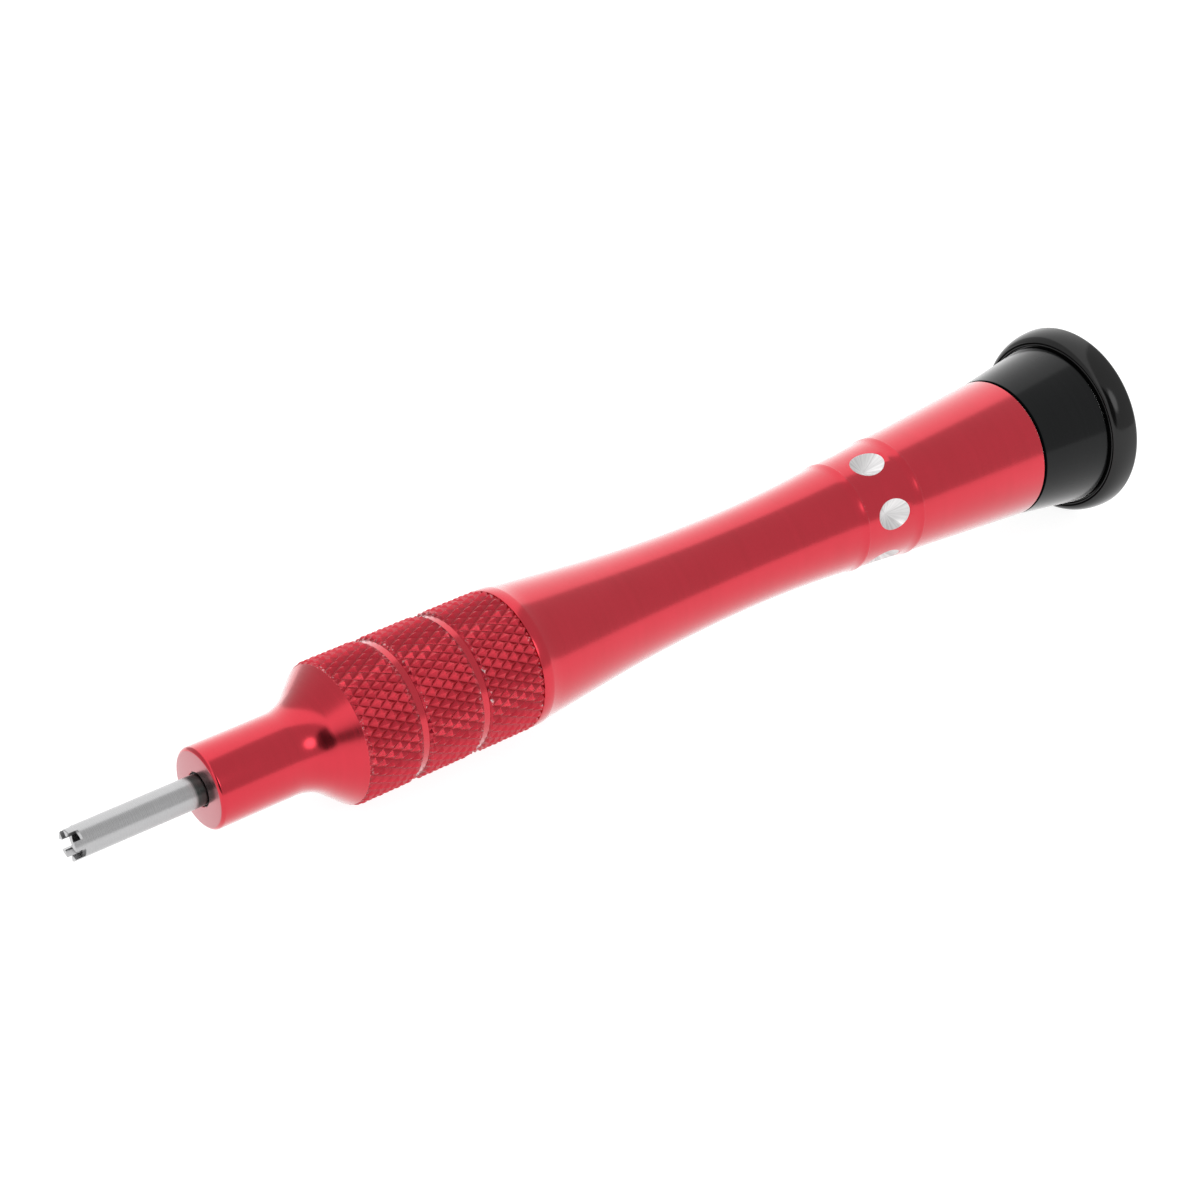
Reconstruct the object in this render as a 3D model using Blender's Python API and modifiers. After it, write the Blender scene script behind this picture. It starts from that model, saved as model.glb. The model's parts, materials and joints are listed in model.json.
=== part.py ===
"""Watchmaker screwdriver: a turned handle, a five-prong blade and a finger rest that spins on a ball bearing.

Every piece is turned about its own local Z axis, which runs from the tip of the blade to the finger rest.
All of them hang from one empty, tool_axis, which lays the tool on the ground: it rests on the rim of the
finger rest and on the front edge of the grip, so its axis rises a little towards the finger rest.
"""
import bpy
import bmesh
from math import sin, cos, tan, asin, acos, atan, degrees, radians, pi
from mathutils import Matrix, Vector

MM = 0.001
TURN_STEPS = 40
FINE_STEPS = 32
BALL_SEGMENTS = 12
RACE_STEPS = 6

# Driving dimensions, in millimetres and degrees. A station is a distance along the axis from the blade's end.
BLADE_RADIUS = 1.30
BLADE_BORE_RADIUS = 0.80
BLADE_BORE_DEPTH = 6.0
BLADE_TANG_LENGTH = 18.0
BLADE_EDGE = 0.05
PRONG_COUNT = 5
PRONG_LENGTH = 0.83
PRONG_SLOT_WIDTH = 0.82
PRONG_SLOT_PHASE = 69.4

NOSE_STATION = 11.5
NOSE_RADIUS = 3.42
NOSE_LENGTH = 7.35
NOSE_CHAMFER = 0.17
FLARE_RADIUS = 4.5
FLARE_ANGLE = 41.0
GRIP_RADIUS = 6.15
GRIP_CORNER = 0.9
GRIP_END_STATION = 41.6
GROOVE_STATIONS = (28.95, 34.95)
GROOVE_WIDTH = 0.80
GROOVE_DEPTH = 0.26
RIDGE_WIDTH = 0.98
RIDGE_DROP = 0.05
RIDGE_STEP = 0.08

WAIST_STATION = 65.9
WAIST_RADIUS = 4.37
WAIST_FRONT_LENGTH = 16.5
WAIST_BACK_LENGTH = 9.8
TAIL_STATION = 98.8
TAIL_RADIUS = 6.555
TAIL_EDGE = 0.06
RING_STATIONS = (78.1, 84.35)
RING_WIDTH = 1.05
RING_HEIGHT = 0.09
RING_BACK = 0.2
DIMPLE_COUNT = 6
DIMPLE_STATION = 80.85
DIMPLE_DEPTH = 1.01
DIMPLE_POINT_ANGLE = 118.0
DIMPLE_PHASE = 15.4

FERRULE_LENGTH = 7.3
FERRULE_END_RADIUS = 7.6
SPIGOT_RADIUS = 4.2
SPIGOT_LENGTH = 5.0
FERRULE_BORE_CLEARANCE = 0.35

BEARING_BORE_RADIUS = 2.0
BEARING_OUTER_RADIUS = 5.5
BEARING_WIDTH = 4.0
BEARING_EDGE = 0.12
BALL_COUNT = 7
BALL_RADIUS = 1.0
RACE_SHOULDER = 0.70
CAGE_MARGIN = 0.25
CAGE_HALF_THICKNESS = 0.34
SHIELD_THICKNESS = 0.2
SHIELD_SEAT_STEP = 0.3
SHIELD_SEAT_DEPTH = 0.3

SPINDLE_GRIP = 1.1
SPINDLE_EDGE = 0.1
SCREW_SHANK_RADIUS = 0.8
SCREW_SHANK_LENGTH = 3.0
SCREW_HEAD_RADIUS = 1.75
SCREW_HEAD_HEIGHT = 1.1
SCREW_SLOT_WIDTH = 0.45
SCREW_SLOT_DEPTH = 0.45
WASHER_INSET = 0.3
WASHER_THICKNESS = 0.4
SHIM_INSET = 0.25
SHIM_THICKNESS = 0.1

CAP_RADIUS = 8.92
CAP_LENGTH = 2.65
CAP_FRONT_RADIUS = 8.0
CAP_BACK_EDGE = 0.5
CAP_DISH_RADIUS = 7.3
CAP_DISH_DEPTH = 0.75

# Named clearances.
SEAT_GAP = 0.05
SHOULDER_GAP = 0.1
BLADE_GAP = 0.1
BOTTOM_GAP = 0.3
RACE_GAP = 0.05
POCKET_GAP = 0.08
SHIELD_GAP = 0.1

# Stations and sizes that follow from the ones above.
GRIP_END_RADIUS = GRIP_RADIUS - RIDGE_DROP
TAPER_BACK = (TAIL_RADIUS - WAIST_RADIUS) / (TAIL_STATION - WAIST_STATION - WAIST_BACK_LENGTH / 2)
TAPER_FRONT = ((GRIP_END_RADIUS - RIDGE_STEP - WAIST_RADIUS)
               / (WAIST_STATION - GRIP_END_STATION - WAIST_FRONT_LENGTH / 2))
FLARE_START = NOSE_STATION + NOSE_LENGTH
FLARE_LEAN = radians(FLARE_ANGLE)
FLARE_TOP = FLARE_START + FLARE_RADIUS * sin(FLARE_LEAN)
FLARE_TOP_RADIUS = NOSE_RADIUS + FLARE_RADIUS * (1 - cos(FLARE_LEAN))
CORNER_LOSS = GRIP_CORNER * (1 - cos(FLARE_LEAN))
GRIP_FRONT_STATION = (FLARE_TOP + GRIP_CORNER * sin(FLARE_LEAN)
                      + (GRIP_RADIUS - CORNER_LOSS - FLARE_TOP_RADIUS) / tan(FLARE_LEAN))
FERRULE_START = TAIL_STATION + SHOULDER_GAP
FERRULE_END = FERRULE_START + FERRULE_LENGTH
BEARING_BACK = FERRULE_END - SEAT_GAP
BEARING_FRONT = BEARING_BACK - BEARING_WIDTH
BEARING_MIDDLE = (BEARING_BACK + BEARING_FRONT) / 2
PITCH_RADIUS = (BEARING_BORE_RADIUS + BEARING_OUTER_RADIUS) / 2
RACE_RADIUS = BALL_RADIUS + RACE_GAP
RACE_ANGLE = degrees(acos(RACE_SHOULDER / RACE_RADIUS))
INNER_LAND = PITCH_RADIUS - RACE_SHOULDER
OUTER_LAND = PITCH_RADIUS + RACE_SHOULDER
SHIELD_SEAT_RADIUS = OUTER_LAND + SHIELD_SEAT_STEP
CAGE_HALF_WIDTH = BALL_RADIUS + CAGE_MARGIN
FERRULE_BORE_RADIUS = INNER_LAND + FERRULE_BORE_CLEARANCE
WASHER_RADIUS = INNER_LAND - WASHER_INSET
SHIM_RADIUS = INNER_LAND - SHIM_INSET
CAP_START = BEARING_BACK + SHIM_THICKNESS + 2 * SEAT_GAP
CAP_END = CAP_START + CAP_LENGTH
CAP_RIM_STATION = CAP_END - CAP_BACK_EDGE
SPINDLE_RADIUS = BEARING_BORE_RADIUS - SEAT_GAP
SPINDLE_START = BEARING_FRONT + SEAT_GAP
SPINDLE_END = CAP_START + SPINDLE_GRIP
WASHER_BACK = BEARING_FRONT - SEAT_GAP
SCREW_HEAD_BACK = WASHER_BACK - WASHER_THICKNESS - SEAT_GAP
SCREW_END = SCREW_HEAD_BACK + SCREW_SHANK_LENGTH

# How the tool lies: on the rim of the cap and on the front edge of the grip.
REST_TILT = atan((CAP_RADIUS - GRIP_RADIUS) / (CAP_RIM_STATION - GRIP_FRONT_STATION))
TIP_HEIGHT = CAP_RADIUS * cos(REST_TILT) - CAP_RIM_STATION * sin(REST_TILT)
TIP_REACH = -BLADE_RADIUS * sin(REST_TILT)
CAP_REACH = ((CAP_RADIUS - CAP_BACK_EDGE) * sin(REST_TILT) + CAP_RIM_STATION * cos(REST_TILT) + CAP_BACK_EDGE)


def arc(radius, station, size, start, end, steps, depth=None):
    """Points of an arc about (radius, station), from angle start to end in degrees, 0 pointing outwards."""
    angles = [radians(start + (end - start) * i / steps) for i in range(steps + 1)]
    return [(radius + size * cos(a), station + (depth or size) * sin(a)) for a in angles]


def make_material(name, colour, roughness, metallic):
    material = bpy.data.materials.new(name)
    material.use_nodes = True
    shader = material.node_tree.nodes["Principled BSDF"]
    shader.inputs["Base Color"].default_value = (*colour, 1.0)
    shader.inputs["Roughness"].default_value = roughness
    shader.inputs["Metallic"].default_value = metallic
    return material


def make_collection(name):
    collection = bpy.data.collections.new(name)
    bpy.context.scene.collection.children.link(collection)
    return collection


def make_axis(name, parent, station):
    """An empty on the tool's axis; the pieces under it have their origin there."""
    axis = bpy.data.objects.new(name, None)
    axis.empty_display_size = 10 * MM
    parts.objects.link(axis)
    axis.parent = parent
    axis.location.z = station * MM
    axis["station"] = station
    return axis


def add_piece(name, mesh, axis, look):
    piece = bpy.data.objects.new(name, mesh)
    parts.objects.link(piece)
    piece.parent = axis
    mesh.materials.append(look)
    return piece


def turned(name, outline, axis, look, closed=False, steps=TURN_STEPS):
    """A turned piece: an outline at +X, running down its outer side, spun about Z by a Screw modifier."""
    mesh = bpy.data.meshes.new(name)
    shape = bmesh.new()
    corners = [shape.verts.new((r * MM, 0.0, (station - axis["station"]) * MM)) for r, station in outline]
    for upper, lower in zip(corners, corners[1:]):
        shape.edges.new((upper, lower))
    if closed:
        shape.edges.new((corners[-1], corners[0]))
    shape.to_mesh(mesh)
    shape.free()
    piece = add_piece(name, mesh, axis, look)
    turn = piece.modifiers.new("Turn", 'SCREW')
    turn.angle = 2 * pi
    turn.steps = steps
    turn.render_steps = steps
    turn.use_merge_vertices = True
    turn.merge_threshold = 0.001 * MM
    turn.use_smooth_shade = True
    return piece


def to_mesh(name, shape):
    mesh = bpy.data.meshes.new(name)
    bmesh.ops.remove_doubles(shape, verts=shape.verts, dist=0.001 * MM)
    shape.to_mesh(mesh)
    shape.free()
    return mesh


def cone_mesh(name, small, big, depth, segments):
    shape = bmesh.new()
    bmesh.ops.create_cone(shape, cap_ends=True, segments=segments, radius1=small * MM, radius2=big * MM,
                          depth=depth * MM)
    return to_mesh(name, shape)


def ball_mesh(name, radius, segments):
    shape = bmesh.new()
    bmesh.ops.create_uvsphere(shape, u_segments=segments, v_segments=segments // 2, radius=radius * MM)
    mesh = to_mesh(name, shape)
    mesh.shade_smooth()
    return mesh


def box_mesh(name, *size):
    shape = bmesh.new()
    bmesh.ops.create_cube(shape, size=1.0)
    bmesh.ops.scale(shape, vec=Vector(size) * MM, verts=shape.verts)
    return to_mesh(name, shape)


def around(degrees_round, radius, station):
    """A place at an angle round the axis, at a radius and a station, with +X pointing outwards."""
    turn = Matrix.Rotation(radians(degrees_round), 4, 'Z')
    return turn @ Matrix.Translation((radius * MM, 0, station * MM))


def cut(piece, name, mesh, place):
    """Cut a piece with a hidden cutter that hangs from the same axis."""
    cutter = bpy.data.objects.new(name, mesh)
    cutters.objects.link(cutter)
    cutter.parent = piece.parent
    cutter.matrix_local = place
    cutter.hide_render = True
    cutter.display_type = 'WIRE'
    taken = piece.modifiers.new(name, 'BOOLEAN')
    taken.operation = 'DIFFERENCE'
    taken.solver = 'EXACT'
    taken.object = cutter


def handle_radius(station):
    """The plain handle behind the grip: a taper, a waist of two curves, and a taper back out."""
    behind = station - WAIST_STATION
    if behind >= WAIST_BACK_LENGTH:
        return WAIST_RADIUS + TAPER_BACK * (behind - WAIST_BACK_LENGTH / 2)
    if behind >= 0:
        return WAIST_RADIUS + TAPER_BACK * behind ** 2 / (2 * WAIST_BACK_LENGTH)
    if behind >= -WAIST_FRONT_LENGTH:
        return WAIST_RADIUS + TAPER_FRONT * behind ** 2 / (2 * WAIST_FRONT_LENGTH)
    return WAIST_RADIUS + TAPER_FRONT * (-behind - WAIST_FRONT_LENGTH / 2)


def waist_outline():
    """From the tail end down to the ridge behind the grip, with the two raised rings."""
    edge = TAIL_STATION - TAIL_EDGE
    points = [(TAIL_RADIUS - TAIL_EDGE, TAIL_STATION), (handle_radius(edge), edge)]
    for crest in sorted(RING_STATIONS, reverse=True):
        points.append((handle_radius(crest + RING_BACK), crest + RING_BACK))
        points.append((handle_radius(crest) + RING_HEIGHT, crest))
        points.append((handle_radius(crest - RING_WIDTH), crest - RING_WIDTH))
    stations = [WAIST_STATION + WAIST_BACK_LENGTH * i / 3 for i in range(3, -1, -1)]
    stations += [WAIST_STATION - WAIST_FRONT_LENGTH * i / 5 for i in range(1, 6)]
    points += [(handle_radius(station), station) for station in stations]
    points.append((GRIP_END_RADIUS - RIDGE_STEP, GRIP_END_STATION + RIDGE_STEP))
    return points


def grip_outline():
    """The ridge, the grip's three bands and the two grooves between them."""
    band_end = GRIP_END_STATION - RIDGE_WIDTH
    floor = GRIP_RADIUS - GROOVE_DEPTH
    points = [(GRIP_END_RADIUS, GRIP_END_STATION), (GRIP_END_RADIUS, band_end), (GRIP_RADIUS, band_end)]
    for middle in sorted(GROOVE_STATIONS, reverse=True):
        back = middle + GROOVE_WIDTH / 2
        front = middle - GROOVE_WIDTH / 2
        points += [(GRIP_RADIUS, back), (floor, back), (floor, front), (GRIP_RADIUS, front)]
    return points


def nose_outline():
    """The grip's rounded front corner, the concave flare, and the nose with its small chamfer."""
    points = arc(GRIP_RADIUS - GRIP_CORNER, GRIP_FRONT_STATION, GRIP_CORNER, 0, -FLARE_ANGLE, 4)
    points += arc(NOSE_RADIUS + FLARE_RADIUS, FLARE_START, FLARE_RADIUS, 180 - FLARE_ANGLE, 180, 6)
    points += [(NOSE_RADIUS, NOSE_STATION + NOSE_CHAMFER), (NOSE_RADIUS - NOSE_CHAMFER, NOSE_STATION)]
    return points


def make_handle(axis, look):
    tail_bore = SPIGOT_RADIUS + SEAT_GAP
    tail_floor = FERRULE_START - SPIGOT_LENGTH - BOTTOM_GAP
    blade_bore = BLADE_RADIUS + BLADE_GAP
    blade_floor = NOSE_STATION + BLADE_TANG_LENGTH + BOTTOM_GAP
    outline = [(0, tail_floor), (tail_bore, tail_floor), (tail_bore, TAIL_STATION)]
    outline += waist_outline() + grip_outline() + nose_outline()
    outline += [(blade_bore, NOSE_STATION), (blade_bore, blade_floor), (0, blade_floor)]
    handle = turned("handle_body", outline, axis, look)
    reach = DIMPLE_DEPTH + 1.0
    cone = cone_mesh("dimple_drill", 0.0, reach * tan(radians(DIMPLE_POINT_ANGLE / 2)), reach, 24)
    middle = handle_radius(DIMPLE_STATION) - DIMPLE_DEPTH + reach / 2
    for i in range(DIMPLE_COUNT):
        place = around(DIMPLE_PHASE + 360 * i / DIMPLE_COUNT, middle, DIMPLE_STATION)
        cut(handle, f"dimple_{i + 1}", cone, place @ Matrix.Rotation(pi / 2, 4, 'Y'))


def make_blade(axis, look):
    tang_end = NOSE_STATION + BLADE_TANG_LENGTH
    outline = [(0, tang_end), (BLADE_RADIUS - BLADE_EDGE, tang_end), (BLADE_RADIUS, tang_end - BLADE_EDGE),
               (BLADE_RADIUS, BLADE_EDGE), (BLADE_RADIUS - BLADE_EDGE, 0),
               (BLADE_BORE_RADIUS, 0), (BLADE_BORE_RADIUS, BLADE_BORE_DEPTH),
               (0, BLADE_BORE_DEPTH + BLADE_BORE_RADIUS / 2)]
    blade = turned("driver_blade", outline, axis, look)
    inner = BLADE_BORE_RADIUS / 2
    outer = BLADE_RADIUS * 1.5
    mill = box_mesh("prong_mill", outer - inner, PRONG_SLOT_WIDTH, 2 * PRONG_LENGTH)
    for i in range(PRONG_COUNT):
        turn = PRONG_SLOT_PHASE + 360 * i / PRONG_COUNT
        cut(blade, f"prong_slot_{i + 1}", mill, around(turn, (inner + outer) / 2, 0))


def make_ferrule(axis, look):
    seat = BEARING_OUTER_RADIUS + SEAT_GAP
    floor = BEARING_FRONT - SEAT_GAP
    spigot_end = FERRULE_START - SPIGOT_LENGTH
    outline = [(seat, floor), (seat, FERRULE_END), (FERRULE_END_RADIUS - TAIL_EDGE, FERRULE_END),
               (FERRULE_END_RADIUS, FERRULE_END - TAIL_EDGE), (TAIL_RADIUS, FERRULE_START + TAIL_EDGE),
               (TAIL_RADIUS - TAIL_EDGE, FERRULE_START), (SPIGOT_RADIUS, FERRULE_START),
               (SPIGOT_RADIUS, spigot_end), (FERRULE_BORE_RADIUS, spigot_end), (FERRULE_BORE_RADIUS, floor)]
    turned("tail_ferrule", outline, axis, look, closed=True)


def make_rings(axis, cap_axis, look):
    """The outer ring stays in the ferrule; the inner ring turns with the cap."""
    edge = BEARING_EDGE
    shield_step = SHIELD_SEAT_DEPTH
    outer = [(BEARING_OUTER_RADIUS - edge, BEARING_BACK), (BEARING_OUTER_RADIUS, BEARING_BACK - edge),
             (BEARING_OUTER_RADIUS, BEARING_FRONT + edge), (BEARING_OUTER_RADIUS - edge, BEARING_FRONT),
             (SHIELD_SEAT_RADIUS, BEARING_FRONT), (SHIELD_SEAT_RADIUS, BEARING_FRONT + shield_step),
             (OUTER_LAND, BEARING_FRONT + shield_step)]
    outer += arc(PITCH_RADIUS, BEARING_MIDDLE, RACE_RADIUS, -RACE_ANGLE, RACE_ANGLE, RACE_STEPS)
    outer += [(OUTER_LAND, BEARING_BACK - shield_step), (SHIELD_SEAT_RADIUS, BEARING_BACK - shield_step),
              (SHIELD_SEAT_RADIUS, BEARING_BACK)]
    turned("bearing_outer_ring", outer, axis, look, closed=True, steps=FINE_STEPS)
    inner = [(INNER_LAND, BEARING_BACK)]
    inner += arc(PITCH_RADIUS, BEARING_MIDDLE, RACE_RADIUS, 180 - RACE_ANGLE, 180 + RACE_ANGLE, RACE_STEPS)
    inner += [(INNER_LAND, BEARING_FRONT), (BEARING_BORE_RADIUS + edge, BEARING_FRONT),
              (BEARING_BORE_RADIUS, BEARING_FRONT + edge), (BEARING_BORE_RADIUS, BEARING_BACK - edge),
              (BEARING_BORE_RADIUS + edge, BEARING_BACK)]
    turned("bearing_inner_ring", inner, cap_axis, look, closed=True, steps=FINE_STEPS)


def make_balls(cage_axis, look, cage_look):
    """The balls roll round with the cage, one in each of its pockets."""
    low, high = PITCH_RADIUS - CAGE_HALF_THICKNESS, PITCH_RADIUS + CAGE_HALF_THICKNESS
    front, back = BEARING_MIDDLE - CAGE_HALF_WIDTH, BEARING_MIDDLE + CAGE_HALF_WIDTH
    outline = [(high, back), (high, front), (low, front), (low, back)]
    cage = turned("bearing_cage", outline, cage_axis, cage_look, closed=True, steps=FINE_STEPS)
    pocket = ball_mesh("pocket_cutter", BALL_RADIUS + POCKET_GAP, BALL_SEGMENTS)
    ball = ball_mesh("bearing_ball", BALL_RADIUS, BALL_SEGMENTS)
    for i in range(BALL_COUNT):
        place = around(360 * i / BALL_COUNT, PITCH_RADIUS, 0)
        cut(cage, f"pocket_{i + 1}", pocket, place)
        mesh = ball if i == 0 else ball.copy()
        mesh.materials.clear()
        add_piece(f"bearing_ball_{i + 1}", mesh, cage_axis, look).matrix_local = place


def make_shields(axis, look):
    inner = INNER_LAND + SHIELD_GAP
    outer = SHIELD_SEAT_RADIUS - SEAT_GAP
    for name, front in (("front_shield", BEARING_FRONT + SEAT_GAP),
                        ("rear_shield", BEARING_BACK - SEAT_GAP - SHIELD_THICKNESS)):
        back = front + SHIELD_THICKNESS
        outline = [(outer, back), (outer, front), (inner, front), (inner, back)]
        turned(name, outline, axis, look, closed=True, steps=FINE_STEPS)


def make_spindle(cap_axis, look):
    tapped = SCREW_SHANK_RADIUS + SEAT_GAP
    tapped_floor = SCREW_END + BOTTOM_GAP
    edge = SPINDLE_EDGE
    outline = [(0, SPINDLE_END), (SPINDLE_RADIUS - edge, SPINDLE_END), (SPINDLE_RADIUS, SPINDLE_END - edge),
               (SPINDLE_RADIUS, SPINDLE_START + edge), (SPINDLE_RADIUS - edge, SPINDLE_START),
               (tapped, SPINDLE_START), (tapped, tapped_floor), (0, tapped_floor)]
    turned("cap_spindle", outline, cap_axis, look, steps=FINE_STEPS)


def make_washers(cap_axis, look):
    """The shim behind the inner ring and the washer in front of it."""
    shim_front = BEARING_BACK + SEAT_GAP
    shim_bore = SPINDLE_RADIUS + SEAT_GAP
    washer_bore = SCREW_SHANK_RADIUS + SHOULDER_GAP
    washer_front = WASHER_BACK - WASHER_THICKNESS
    for name, front, back, bore, rim in (
            ("spacer_shim", shim_front, shim_front + SHIM_THICKNESS, shim_bore, SHIM_RADIUS),
            ("retaining_washer", washer_front, WASHER_BACK, washer_bore, WASHER_RADIUS)):
        outline = [(rim, back), (rim, front), (bore, front), (bore, back)]
        turned(name, outline, cap_axis, look, closed=True, steps=FINE_STEPS)


def make_screw(cap_axis, look):
    head_front = SCREW_HEAD_BACK - SCREW_HEAD_HEIGHT
    crown = SCREW_HEAD_HEIGHT / 2
    outline = [(0, SCREW_END), (SCREW_SHANK_RADIUS, SCREW_END), (SCREW_SHANK_RADIUS, SCREW_HEAD_BACK),
               (SCREW_HEAD_RADIUS, SCREW_HEAD_BACK)]
    outline += arc(SCREW_HEAD_RADIUS - crown, head_front + crown, crown, 0, -90, 4) + [(0, head_front)]
    screw = turned("retaining_screw", outline, cap_axis, look, steps=FINE_STEPS)
    slot = box_mesh("slot_cutter", 3 * SCREW_HEAD_RADIUS, SCREW_SLOT_WIDTH, 2 * SCREW_SLOT_DEPTH)
    cut(screw, "driver_slot", slot, around(0, 0, head_front - cap_axis["station"]))


def make_cap(cap_axis, look):
    dish = (CAP_DISH_RADIUS ** 2 + CAP_DISH_DEPTH ** 2) / (2 * CAP_DISH_DEPTH)
    sweep = degrees(asin(CAP_DISH_RADIUS / dish))
    hole = SPINDLE_RADIUS + SEAT_GAP
    hole_floor = SPINDLE_END + SEAT_GAP
    outline = arc(0, CAP_END - CAP_DISH_DEPTH + dish, dish, -90, sweep - 90, 6)
    outline += arc(CAP_RADIUS - CAP_BACK_EDGE, CAP_RIM_STATION, CAP_BACK_EDGE, 90, 0, 4)
    outline += arc(CAP_FRONT_RADIUS, CAP_RIM_STATION, CAP_RADIUS - CAP_FRONT_RADIUS, 0, -90, 6,
                   depth=CAP_RIM_STATION - CAP_START)[1:]
    outline += [(hole, CAP_START), (hole, hole_floor), (0, hole_floor)]
    turned("swivel_cap", outline, cap_axis, look)


for old in list(bpy.data.objects):
    bpy.data.objects.remove(old, do_unlink=True)
parts = make_collection("watchmaker_screwdriver")
cutters = make_collection("cutters")

red = make_material("red_anodised", (0.42, 0.02, 0.035), 0.28, 1.0)
steel = make_material("blade_steel", (0.62, 0.62, 0.63), 0.25, 1.0)
black_metal = make_material("black_anodised", (0.018, 0.02, 0.023), 0.35, 0.6)
black_plastic = make_material("gloss_black", (0.012, 0.012, 0.012), 0.18, 0.0)
bearing_steel = make_material("bearing_steel", (0.7, 0.7, 0.72), 0.15, 1.0)
cage_brass = make_material("cage_brass", (0.65, 0.48, 0.2), 0.35, 1.0)

tool_axis = make_axis("tool_axis", None, 0.0)
tool_axis.location = (-(TIP_REACH + CAP_REACH) / 2 * MM, 0, TIP_HEIGHT * MM)
tool_axis.rotation_euler = (0, pi / 2 - REST_TILT, 0)
spin_axis = make_axis("cap_spin_axis", tool_axis, BEARING_MIDDLE)
ball_axis = make_axis("cage_spin_axis", tool_axis, BEARING_MIDDLE)

make_handle(tool_axis, red)
make_blade(tool_axis, steel)
make_ferrule(tool_axis, black_metal)
make_rings(tool_axis, spin_axis, bearing_steel)
make_balls(ball_axis, bearing_steel, cage_brass)
make_shields(tool_axis, bearing_steel)
make_spindle(spin_axis, steel)
make_washers(spin_axis, steel)
make_screw(spin_axis, steel)
make_cap(spin_axis, black_plastic)
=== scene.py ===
# %% [markdown]
# # A watchmaker's screwdriver
# The tool is a slim handle turned from aluminium, dyed red, with a short hollow steel blade at its nose.
# A black neck is pressed into its tail and holds a tiny ball bearing. A black finger rest spins on that.
# A fingertip presses on the finger rest while the other fingers twirl the handle by its knurled grip.
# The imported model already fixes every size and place, so we load it first and build finer pieces round it.

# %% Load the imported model
import json
from math import asin, atan2, cos, degrees, hypot, pi, radians, sin, tan
from random import Random
import bmesh
import bpy
from mathutils import Matrix, Vector


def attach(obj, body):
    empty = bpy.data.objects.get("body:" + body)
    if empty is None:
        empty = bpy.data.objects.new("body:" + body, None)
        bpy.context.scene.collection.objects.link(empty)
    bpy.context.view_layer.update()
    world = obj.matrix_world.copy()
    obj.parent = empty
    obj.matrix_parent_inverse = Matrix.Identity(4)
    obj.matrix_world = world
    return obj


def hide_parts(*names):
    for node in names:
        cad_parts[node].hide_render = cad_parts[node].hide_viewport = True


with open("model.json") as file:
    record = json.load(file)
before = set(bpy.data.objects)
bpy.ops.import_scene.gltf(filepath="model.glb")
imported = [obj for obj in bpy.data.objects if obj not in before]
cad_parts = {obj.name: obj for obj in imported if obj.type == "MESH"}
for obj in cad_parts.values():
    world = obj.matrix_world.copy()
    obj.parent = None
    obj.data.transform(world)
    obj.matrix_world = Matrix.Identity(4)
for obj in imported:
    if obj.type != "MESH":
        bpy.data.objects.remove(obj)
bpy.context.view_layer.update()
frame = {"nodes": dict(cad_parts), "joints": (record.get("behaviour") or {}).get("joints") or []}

# %% [markdown]
# ## The tool's own axis
# The tool lies on its side, resting on its grip and its finger rest, so its axis leans a little.
# Turned work is easiest on an upright axis, so we model in millimetres, with Z along the tool.
# The blade's end is at 0.
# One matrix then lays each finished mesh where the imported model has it.
# The spinning joint gives us that axis for free: it runs down the middle of the handle.
# We call a distance along the axis a station, as boat builders and lathe hands do.

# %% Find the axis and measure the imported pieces
spin_joint = next(joint for joint in frame["joints"] if joint["name"] == "cap_spin")
AXIS = Vector(spin_joint["axis"]).normalized()
PIVOT = Vector(spin_joint["pos_m"])
ACROSS = Vector((0, 1, 0))
DOWN = ACROSS.cross(AXIS)
MM = 0.001


def along(node):
    """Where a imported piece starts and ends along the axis, in metres from the joint."""
    reaches = [(corner.co - PIVOT).dot(AXIS) for corner in frame["nodes"][node].data.vertices]
    return min(reaches), max(reaches)


TIP = PIVOT + AXIS * along("driver_blade")[0]
TOOL = Matrix.Translation(TIP) @ Matrix((DOWN, ACROSS, AXIS)).transposed().to_4x4() @ Matrix.Scale(MM, 4)
TO_TOOL = TOOL.inverted()


def measure(node):
    """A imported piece's first station, last station and widest radius, in millimetres."""
    corners = [TO_TOOL @ corner.co for corner in frame["nodes"][node].data.vertices]
    stations = [corner.z for corner in corners]
    return min(stations), max(stations), max(hypot(corner.x, corner.y) for corner in corners)


TANG_END, BLADE_RADIUS = measure("driver_blade")[1:]
NOSE, TAIL, TAIL_RADIUS = measure("handle_body")
SPIGOT_END, NECK_END, NECK_RADIUS = measure("tail_ferrule")
CAP_START, CAP_END, CAP_RADIUS = measure("swivel_cap")
print(f"handle from {NOSE:.2f} to {TAIL:.2f} mm, cap radius {CAP_RADIUS:.2f} mm")

# %% [markdown]
# ## Helpers for turned work
# Almost everything here came off a lathe, so one helper does most of the shaping.
# We draw half of the section as a thin line of vertices and let `bmesh.ops.spin` sweep it round the axis.
# A full spin needs `use_merge`, or its first and last copies stay apart and leave an open seam.
# A real turned corner is never razor sharp, and a small round is what catches the light.
# So a second helper picks the ring of edges at a corner and bevels it.

# %% Turn, soften and place
TURN_STEPS = 160
CLOSE = 0.0005
SHARP = 30.0


def arc(radius, station, size, start, end, steps, depth=None):
    """Points of an arc about (radius, station), from start to end in degrees, with 0 pointing outwards.

    A depth other than the size makes it part of an ellipse.
    """
    angles = [radians(start + (end - start) * i / steps) for i in range(steps + 1)]
    return [(radius + size * cos(a), station + (depth or size) * sin(a)) for a in angles]


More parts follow.
